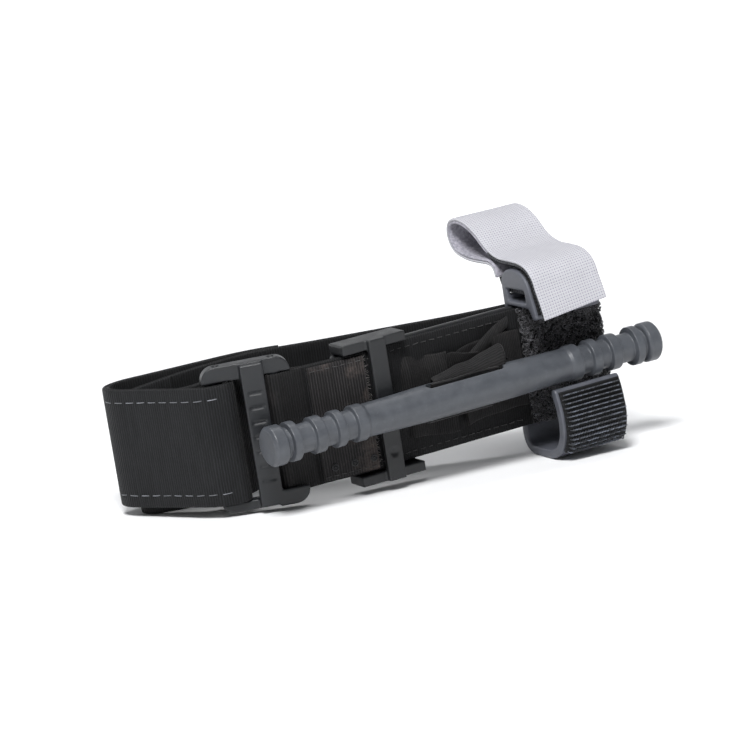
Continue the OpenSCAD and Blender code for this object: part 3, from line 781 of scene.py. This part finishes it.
PAD_W = BAND_W - 0.6
PAD_END = FOLD_FROM - 0.4
pad_surface = standing(LONG, LONG.stations(0.8, CLIP_BAND, PAD_END), columns(PAD_W, 2.0), -1.72, 0.3,
                       ripple(0.08, 2.0, 3.0))
pad = cloth("loop_pile_ground", pad_surface, 0.7, HOOKBASE)
fixed(pad, "pack", "loop_pile", "loop_pile_pad")
for name, count, start, end, shift in (("loop_pile_front", 2300, CLIP_BAND, FOLD_FROM, -2.0),
                                       ("loop_pile_fold", 900, FOLD_FROM, FOLD_TO, -1.2)):
    fixed(curls(name, count, on_long(count, start, end, shift)), "pack", "loop_pile")


# ---- tension ribbon ----
def ribbon(name, surface, node=None, blend=None, body=None, thick=0.8):
    """A stretch of the ribbon, on one body, or baked where it stands, attached to no body, when it spans two.
    """
    relief = ribbed(RIBBON_PITCH, 0.13)
    piece = cloth(name, surface, thick, RIBBON, relief, relief, edge=0.4)
    if blend:
        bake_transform(piece)
    else:
        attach(piece, body)
    stands_for([node] if node else [])


def lofted(left, right, x_left, x_right, nu, nv, skew=0.0):
    """A sheet with its width along x, from one (y, z) section to another."""
    a, b = bspline(left, nu), bspline(right, nu)
    w = np.linspace(0, 1, nv)[None, :]
    length = np.linspace(0, 1, nu)[:, None]
    yz = a[:, None] * (1 - w[..., None]) + b[:, None] * w[..., None]
    x = x_left(length) * (1 - w) + x_right(length) * w + skew * length * np.sin(math.pi * w)
    return np.concatenate([x[..., None], yz], -1)


def crumpled(profile, heights):
    """A net of control points: one profile of (x, y, rise) repeated up the band, each at (z, forward)."""
    return np.array([[(x, y - forward, z + rise) for z, forward in heights] for x, y, rise in profile])


left_net = crumpled([(-15.0, -1.6, 0), (-12.2, -4.6, 0), (-9.4, -3.4, -0.3), (-7.0, -3.0, -0.8),
                     (-4.0, -3.6, -1.2), (-1.2, -5.6, -1.4), (1.4, -6.8, -1.0)],
                    [(6.6, 0.2), (14, 0.4), (21, 0.5), (27, 0.3), (30, -0.4), (32.6, -1.2)])
right_net = crumpled([(5.6, -5.6, -1.0), (9.0, -4.4, -0.4), (13.0, -4.0, 0), (17.0, -5.6, 0.4),
                      (21.0, -5.4, 0.6), (25.0, -3.9, 0.4), (29.2, -3.7, 0)],
                     [(7.0, 0), (14, 0), (20.5, 0), (26.5, 0), (31.8, 0)])
ribbon("ribbon_left", patch(left_net, 96, 24), "ribbon_left_run", body="pack")
ribbon("ribbon_right", patch(right_net, 120, 24), "ribbon_right_run", body="pack")

roll_left = [(-14.8, 20.5), (-15.7, 23.2), (-15.3, 25.0), (-13.4, 25.9), (-11.4, 25.4), (-10.4, 23.8)]
roll_right = [(-14.7, 20.5), (-16.0, 24.6), (-14.6, 28.2), (-11.0, 30.4), (-7.2, 29.8), (-5.4, 26.8),
              (-7.0, 24.2)]
ROLL_ALONG, ROLL_ACROSS = 90, 60
roll_surface = lofted(roll_left, roll_right, lambda t: -11.0 + 3.4 * t, lambda t: 13.4 + 9.0 * t ** 0.8,
                      ROLL_ALONG, ROLL_ACROSS, 1.5)
across = np.linspace(0, 1, ROLL_ACROSS)
ridge = 0.5 * np.exp(-((across - 0.33) / 0.10) ** 2)
groove = 0.6 * np.exp(-((across - 0.52) / 0.09) ** 2)
roll_surface[..., 2] += (ridge - groove)[None, :] * np.linspace(0, 1, ROLL_ALONG)[:, None]
ribbon("ribbon_roll", roll_surface, "ribbon_upper_span",
       ("ribbon", "windlass", at(4, -7.4, 27), at(4, -12.5, 27)), thick=0.9)

neck_net = np.array([
    [(1.0, -7.2, 12), (1.2, -7.2, 18), (0.8, -7.2, 24), (0.4, -7.6, 28), (0.6, -7.9, 31.2)],
    [(3.4, -8.8, 13), (3.6, -8.6, 19), (3.4, -8.6, 24), (2.8, -9.0, 28), (1.6, -9.2, 31.8)],
    [(7.0, -8.6, 15), (7.6, -8.4, 20), (7.6, -8.4, 24), (7.4, -9.0, 27.4), (5.0, -9.8, 30.4)],
    [(12.0, -6.8, 17), (12.8, -6.6, 21), (13.4, -6.6, 24.4), (14.0, -7.6, 27.2), (11.0, -8.8, 29.4)]])
ribbon("ribbon_neck", patch(neck_net, 64, 30), None, ("pack", "ribbon", at(2, -6.0, 25), at(2, -9.4, 25)),
       thick=0.7)

strand_net = np.array([
    [(6.0, -8.2, 24.0), (6.4, -8.6, 25.6), (6.6, -8.4, 27.2), (6.6, -7.6, 28.4)],
    [(11.0, -7.2, 26.0), (11.2, -7.8, 27.6), (11.2, -7.6, 29.4), (11.0, -6.8, 30.6)],
    [(16.0, -5.8, 28.6), (16.2, -6.4, 30.2), (16.2, -6.2, 32.0), (16.0, -5.4, 33.2)],
    [(21.0, -4.4, 31.4), (21.2, -5.0, 33.0), (21.4, -4.8, 34.6), (21.2, -4.2, 35.6)],
    [(25.5, -3.4, 33.4), (25.7, -4.0, 34.6), (25.9, -3.8, 35.8), (25.9, -3.2, 36.6)]])
ribbon("ribbon_strand", patch(strand_net, 60, 12), None,
       ("pack", "ribbon", at(14, -4.2, 29), at(8, -9.0, 27)), thick=0.7)

under_left = [(-15.0, 18.0), (-13.6, 13.6), (-12.0, 12.2), (-8.8, 12.0), (-6.8, 13.2), (-6.2, 16.4)]
under_surface = lofted(under_left, under_left, lambda t: -12.0 + 0 * t, lambda t: 12.0 + 0 * t, 70, 40)
ribbon("ribbon_under", under_surface, "ribbon_lower_span",
       ("ribbon", "windlass", at(0, -7.0, 12), at(0, -12.6, 12)))
tie_net = np.array([[(x, y, z) for x in (-12, -4, 4, 12)]
                    for y, z in ((-4.2, 17.4), (-5.4, 16.8), (-6.2, 15.4))])
ribbon("ribbon_tie", patch(tie_net, 16, 30), None,
       ("pack", "ribbon", at(0, -4.0, 17), at(0, -6.2, 16)), thick=0.7)

slot_dir = np.array([0, -math.sin(ROD_ROLL), math.cos(ROD_ROLL)])
slot_v = np.linspace(-12.2, 12.2, 40)
slot_u = np.linspace(-6.6, 6.0, 50)
slot_surface = (np.array([ROD_X, ROD_Y, ROD_Z]) + slot_dir * slot_u[:, None, None]
                + np.array([1.0, 0, 0]) * slot_v[None, :, None]
                + np.array([0, 0.5, 0]) * np.sin(slot_v / 3.0)[None, :, None])
ribbon("ribbon_through_rod", slot_surface, "ribbon_in_slot", body="windlass")


# ---- windlass rod ----
def rounded(points, radius):
    """Cuts each corner of an open outline with a short curve."""
    points = [np.array(p, float) for p in points]
    out = [points[0]]
    for before, corner, after in zip(points, points[1:], points[2:]):
        a, b = before - corner, after - corner
        reach = min(radius, 0.45 * np.linalg.norm(a), 0.45 * np.linalg.norm(b))
        start = corner + a / np.linalg.norm(a) * reach
        end = corner + b / np.linalg.norm(b) * reach
        out.extend(bez(start, corner, corner, end, 4))
    out.append(points[-1])
    return np.array(out)


CAP_R, RIB_R, NECK_R, WAIST_R, ROD_R, MID_R = 6.35, 5.8, 4.7, 4.6, 5.25, 5.7


def rod_outline():
    """Half of the rod from its end cap to its middle, as (distance from the end, radius)."""
    ribs = [(9.8, WAIST_R)]
    for start, end in ((15.0, 18.4), (22.6, 25.4), (29.6, 33.0)):
        ribs += [(start - 0.4, WAIST_R), (start, RIB_R), (end, RIB_R), (end + 0.4, WAIST_R)]
    ribs[-1] = (33.8, ROD_R)
    cap = [(0, 0.01), (0, CAP_R - 0.9), (0.9, CAP_R), (4.4, CAP_R), (5.0, CAP_R - 0.6), (5.2, NECK_R),
           (6.6, NECK_R), (6.8, CAP_R - 0.1), (9.4, CAP_R - 0.1)]
    return cap + ribs + [(44, ROD_R + 0.15), (ROD_LEN / 2 - SLOT_LEN / 2 - 2, MID_R)]


def windlass_rod():
    """Turned rod with rounded grip ribs, a fine mould line and the ribbon slot cut through it."""
    half = rod_outline()
    whole = half + [(ROD_LEN - d, r) for d, r in reversed(half)]
    outline = rounded(whole, 0.42)
    steps = [outline[0]]
    for a, b in zip(outline, outline[1:]):
        n = max(1, int(abs(b[0] - a[0]) / 1.4))
        steps += [a + (b - a) * (k + 1) / n for k in range(n)]
    outline = np.array(steps)
    sides = 144
    turn = np.arange(sides) * 2 * math.pi / sides
    line = 0.07 * (np.exp(-((turn - 1.2) / 0.05) ** 2) + np.exp(-((turn - 1.2 - math.pi) / 0.05) ** 2))
    radius = outline[:, 1:] + line[None, :] * (outline[:, 1:] > 3)
    points = np.stack([np.broadcast_to(outline[:, :1] - ROD_LEN / 2 + ROD_X, radius.shape),
                       ROD_Y + radius * np.cos(turn), ROD_Z + radius * np.sin(turn)], -1)
    rod = make_object("windlass", points.reshape(-1, 3), tube_faces(1, len(outline), sides), ROD)
    cut_slot(rod)
    return rod


def cut_slot(rod):
    """Takes a slot with round ends out of the rod."""
    flat = (SLOT_LEN - SLOT_W) / 2
    outline = np.concatenate([arc((flat, 0), SLOT_W / 2, -90, 90), arc((-flat, 0), SLOT_W / 2, 90, 270)])
    c, s = math.cos(ROD_ROLL), math.sin(ROD_ROLL)
    points = []
    for z in (-12.0, 12.0):
        points += [(ROD_X + x, ROD_Y + y * c - z * s, ROD_Z + y * s + z * c) for x, y in outline]
    cutter = make_object("slot_cutter", np.array(points), tube_faces(1, 2, len(outline)), ROD)
    cut = rod.modifiers.new("slot", "BOOLEAN")
    cut.operation = "DIFFERENCE"
    cut.solver = "EXACT"
    cut.object = cutter
    apply_modifiers(rod)
    bpy.data.objects.remove(cutter)
    rod.data.set_sharp_from_angle(angle=math.radians(40))


def apply_modifiers(obj):
    """Replaces an object's mesh with what its modifiers make."""
    bpy.context.view_layer.update()
    made = bpy.data.meshes.new_from_object(obj.evaluated_get(bpy.context.evaluated_depsgraph_get()))
    obj.modifiers.clear()
    obj.data = made


fixed(windlass_rod(), "windlass", "rod_plastic", "windlass_rod")


# ---- moulded plastic from the CAD shapes ----
def moulded(name, body, node, material, voxel, turn=0.0):
    """A CAD shape with its edges softened as moulding leaves them, worked in its own square axes."""
    source = frame["nodes"][node]
    square = Matrix.Rotation(-turn, 4, "Z") @ Matrix.Rotation(LEAN, 4, "Y")
    mesh = source.data.copy()
    mesh.transform(square)
    mesh.materials.clear()
    mesh.materials.append(material)
    obj = bpy.data.objects.new(name, mesh)
    bpy.context.scene.collection.objects.link(obj)
    weld = obj.modifiers.new("weld", "WELD")
    weld.merge_threshold = 1e-6
    remesh = obj.modifiers.new("remesh", "REMESH")
    remesh.mode = "VOXEL"
    remesh.voxel_size = voxel * MM
    smooth = obj.modifiers.new("smooth", "SMOOTH")
    smooth.factor = 0.5
    smooth.iterations = 3
    apply_modifiers(obj)
    obj.data.transform(square.inverted())
    obj.data.shade_smooth()
    if not obj.data.materials:
        obj.data.materials.append(material)
    fixed(obj, body, material.name.removeprefix("satin_"), node)


moulded("buckle", "buckle", "routing_buckle", BUCKLE, 0.36, BUCKLE_YAW)
moulded("plate", "pack", "stabilization_plate", PLATE, 0.42)
moulded("clip", "pack", "windlass_clip", CLIP, 0.36)

# ---- hook tape on both hooks of the clip ----
HOOK = Route(chain(
    (-17.68, -5.88), (-19.5, -3.98), (-20.6, -1.3), (-20.6, 1.8), (-20.6, 6.0), (-19.8, 9.0), (-18.8, 11.75)))
UPPER_HOOK = Route(chain(
    (-8.07, 50.26), (-10.36, 49.36), (-11.82, 47.6), (-12.6, 45.0), (-13.5, 42.0), (-14.2, 39.8),
    (-14.9, 36.9)))
HOOK_W = CLIP_W - 1.6
HOOK_X = CLIP_X + 0.8


def hook_tape(name, route, shift, thick, relief, node):
    """The ground of a strip of hook tape that is stuck on the clip."""
    surface = crossing(route, route.stations(0.5), columns(HOOK_W, 1.0), shift, HOOK_X)
    piece = fixed(cloth(name, surface, thick, HOOKBASE, relief, relief), "pack", "hook_tape", node)


hook_tape("hook_ground", HOOK, 2.0, 1.0, None, "clip_hook_patch")
hook_tape("upper_hook_tape", UPPER_HOOK, -0.62, 0.8, ribbed(0.9, 0.2), "clip_upper_tape")


def hook_rows():
    """Rows of small hooks that lean along the row."""
    lines = []
    t = np.linspace(0, 1, 8)
    row_pitch, hook_pitch = 1.28, 1.02
    for r in range(int(HOOK.length / row_pitch)):
        s = (r + 0.5) * row_pitch
        p, n = HOOK.at(s), HOOK.left(s)
        for c in range(int((CLIP_W - 2.6) / hook_pitch)):
            x = CLIP_X + 1.4 + (c + 0.5 * (r % 2)) * hook_pitch + rng.normal(0, 0.05)
            lean = rng.normal(0.45, 0.12)
            rise = 1.1 * np.sin(t * 2.2)
            run = lean * t + 0.5 * (1 - np.cos(t * 2.6))
            yz = p + n * (2.45 + rise[:, None] * rng.uniform(0.85, 1.1))
            lines.append(np.concatenate([(x + run)[:, None], yz], 1))
    hooks = tubes("hook_rows", lines, 0.19 * np.array([1.2, 1, 1, 1, 1, 1, 0.9, 0.6]), 5, HOOKS)
    fixed(hooks, "pack", "hook_tape")


def hook_fringe():
    """Fibres that stand out along the hook tape's lower edge."""
    count = 130
    x = rng.uniform(CLIP_X + 1.0, CLIP_X + CLIP_W - 1.0, count)
    t = np.linspace(0, 1, 6)
    lines = []
    for k in range(count):
        start = HOOK.at(rng.uniform(0, 1.2)) + HOOK.left(0.2) * rng.uniform(1.7, 2.6)
        reach = rng.uniform(0.5, 1.3)
        yz = start + np.array([0.35, -0.75]) * (reach * t)[:, None] + np.array([0.5, 0.1]) * (t ** 2)[:, None]
        lines.append(np.concatenate([(x[k] + rng.normal(0, 0.25) * t)[:, None], yz], 1))
    fringe = tubes("hook_fringe", lines, 0.10 * np.array([1, 1, 1, 1, 0.9, 0.5]), 4, HOOKS)
    fixed(fringe, "pack", "hook_tape")


hook_rows()
hook_fringe()

# ---- time strap ----
STRAP_BACK = Route(chain(
    (7.6, 47.15), (8.0, 50.4), (9.4, 51.6), (13.8, 51.7), (21.5, 51.8), (25.6, 51.6), (31.0, 53.0),
    (36.4, 54.4), (37.4, 61.6), (32.0, 63.2), (26.6, 64.6), (20.6, 62.2), (16.6, 59.2),
    (14.4, 57.4), (13.2, 56.2), (11.0, 55.1)))
STRAP = Route(chain(
    (11.0, 55.1), (5.4, 52.4), (0.8, 53.3), (-4.0, 53.0), (-11.6, 52.8), (-14.6, 50.4), (-15.7, 45.6),
    (-16.9, 42.4), (-18.4, 39.8), (-19.1, 35.8)))
ANCHOR = Route([(-9.6, 43.2), (1.6, 43.2)], bez((1.6, 43.2), (5.4, 43.2), (7.2, 44.0), (7.6, 47.0)))


def strap_strip(name, route, shift, material, relief, step=0.23, across=0.24, thick=STRAP_T, x0=STRAP_X,
                width=STRAP_W, slant=0.0):
    """A strip of the strap. slant is how much shorter it is cut at its right edge."""
    s = route.stations(step)
    v = columns(width, across, 0.4)
    surface = crossing(route, s, v, shift, x0, lambda a, b: 0.10 * np.sin(a / 3.7 + b / 6.0))
    if slant:
        keep = s[:, None] * (1 - slant / route.length * (v[None, :] / width))
        surface[..., 1:] = route.at(keep) + route.left(keep) * shift
    return cloth(name, surface, thick, material, relief, relief, edge=0.4)


SIDE = STRAP_T / 2 + 0.01
COARSE = {"relief": None, "step": 0.6, "across": 1.0}
ANCHOR_W = CLIP_W - 3.8
strap_face = strap_strip("time_strap", STRAP, -SIDE, KNIT, knitted, slant=2.2)
strap_lining = strap_strip("time_strap_lining", STRAP, SIDE, BACKING, slant=2.2, **COARSE)
back_face = strap_strip("time_strap_loop", STRAP_BACK, -SIDE, KNIT, knitted)
back_lining = strap_strip("time_strap_loop_lining", STRAP_BACK, SIDE, BRUSHED, **COARSE)
anchor = strap_strip("time_strap_anchor", ANCHOR, 0.0, BACKING, thick=1.5, x0=CLIP_X + 1.9, width=ANCHOR_W,
                     **COARSE)
for piece, node, slot in ((strap_face, "time_strap_face", "strap_face"),
                          (strap_lining, "time_strap_backing", "strap_back")):
    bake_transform(piece)
    stands_for([node])
fixed(back_face, "pack", "strap_face", "strap_back_loop")
fixed(back_lining, "pack", "strap_back")
fixed(anchor, "pack", "strap_back", "strap_anchor")

# ---- floor, light and camera ----
def floor():
    """A pale floor that glows far away, so that its edge melts into the backdrop."""
    mesh = bpy.data.meshes.new("floor")
    reach = 3.0
    corners = [(-reach, -reach, 0), (reach, -reach, 0), (reach, reach, 0), (-reach, reach, 0)]
    mesh.from_pydata(corners, [], [(0, 1, 2, 3)])
    obj = bpy.data.objects.new("floor", mesh)
    look = Look("floor_paint", 0.7, Specular_IOR_Level=0.2)
    look.set("Base Color", look.mix(look.noise(look.place(), 0.004), (0.86, 0.87, 0.88), (0.90, 0.90, 0.91)))
    away = look.node("ShaderNodeVectorMath", {0: look.place()}, output=1, operation="LENGTH")
    look.shader.inputs["Emission Color"].default_value = (1, 1, 1, 1)
    look.set("Emission Strength", look.ramp(away, 220, 700))
    mesh.materials.append(look.material)
    bpy.context.scene.collection.objects.link(obj)


def soft_light(name, place, aim, size, watts):
    lamp = bpy.data.lights.new(name, "AREA")
    lamp.shape = "RECTANGLE"
    lamp.size, lamp.size_y = size
    lamp.energy = watts
    obj = bpy.data.objects.new(name, lamp)
    obj.location = place
    obj.rotation_euler = (Vector(aim) - Vector(place)).to_track_quat("-Z", "Y").to_euler()
    bpy.context.scene.collection.objects.link(obj)


def camera():
    """A long lens from the left, a little above, tipped so that the pack climbs to the right."""
    azimuth, elevation, tip = math.radians(-27.43), math.radians(11.05), math.radians(-6.11)
    distance = 1.3
    toward = Vector((math.sin(azimuth) * math.cos(elevation), -math.cos(azimuth) * math.cos(elevation),
                     math.sin(elevation)))
    level = Vector((math.cos(azimuth), math.sin(azimuth), 0))
    upright = toward.cross(level)
    right = level * math.cos(tip) + upright * math.sin(tip)
    up = toward.cross(right)
    eye = bpy.data.objects.new("camera", bpy.data.cameras.new("camera"))
    target = at(-22.15, -0.99, 28.94)
    turn = Matrix((right, up, toward)).transposed().to_4x4()
    eye.matrix_world = Matrix.Translation(target + toward * distance) @ turn
    eye.data.sensor_width = 36
    eye.data.lens = 199.4
    eye.data.clip_start = 0.05
    bpy.context.scene.collection.objects.link(eye)
    bpy.context.scene.camera = eye


def sky():
    """Dim overhead and in front, white low down behind the pack like a lit backdrop."""
    world = bpy.data.worlds.new("studio")
    world.use_nodes = True
    tree = world.node_tree
    back = next(n for n in tree.nodes if n.type == "BACKGROUND")
    back.inputs["Color"].default_value = (0.97, 0.985, 1.0, 1)

    way = add_node(tree, "ShaderNodeTexCoord", output="Generated")
    parts = add_node(tree, "ShaderNodeSeparateXYZ", {0: way}).node.outputs
    behind = add_node(tree, "ShaderNodeMapRange", {"Value": parts[1], "From Min": -0.2, "From Max": 0.5})
    low = add_node(tree, "ShaderNodeMapRange", {"Value": parts[2], "From Min": 0.62, "From Max": 0.2})
    glow = add_node(tree, "ShaderNodeMath", {0: behind, 1: low}, operation="MULTIPLY")
    strength = add_node(tree, "ShaderNodeMapRange", {"Value": glow, "To Min": 0.20, "To Max": 1.15})
    tree.links.new(strength, back.inputs["Strength"])
    bpy.context.scene.world = world


floor()
sky()
soft_light("key", (-0.42, -0.66, 1.02), (0, 0.03, 0.02), (0.40, 0.34), 21)
soft_light("top", (0.1, 0.35, 1.3), (0, 0, 0.02), (0.5, 0.5), 5)
camera()
bpy.context.scene.view_settings.view_transform = "Standard"
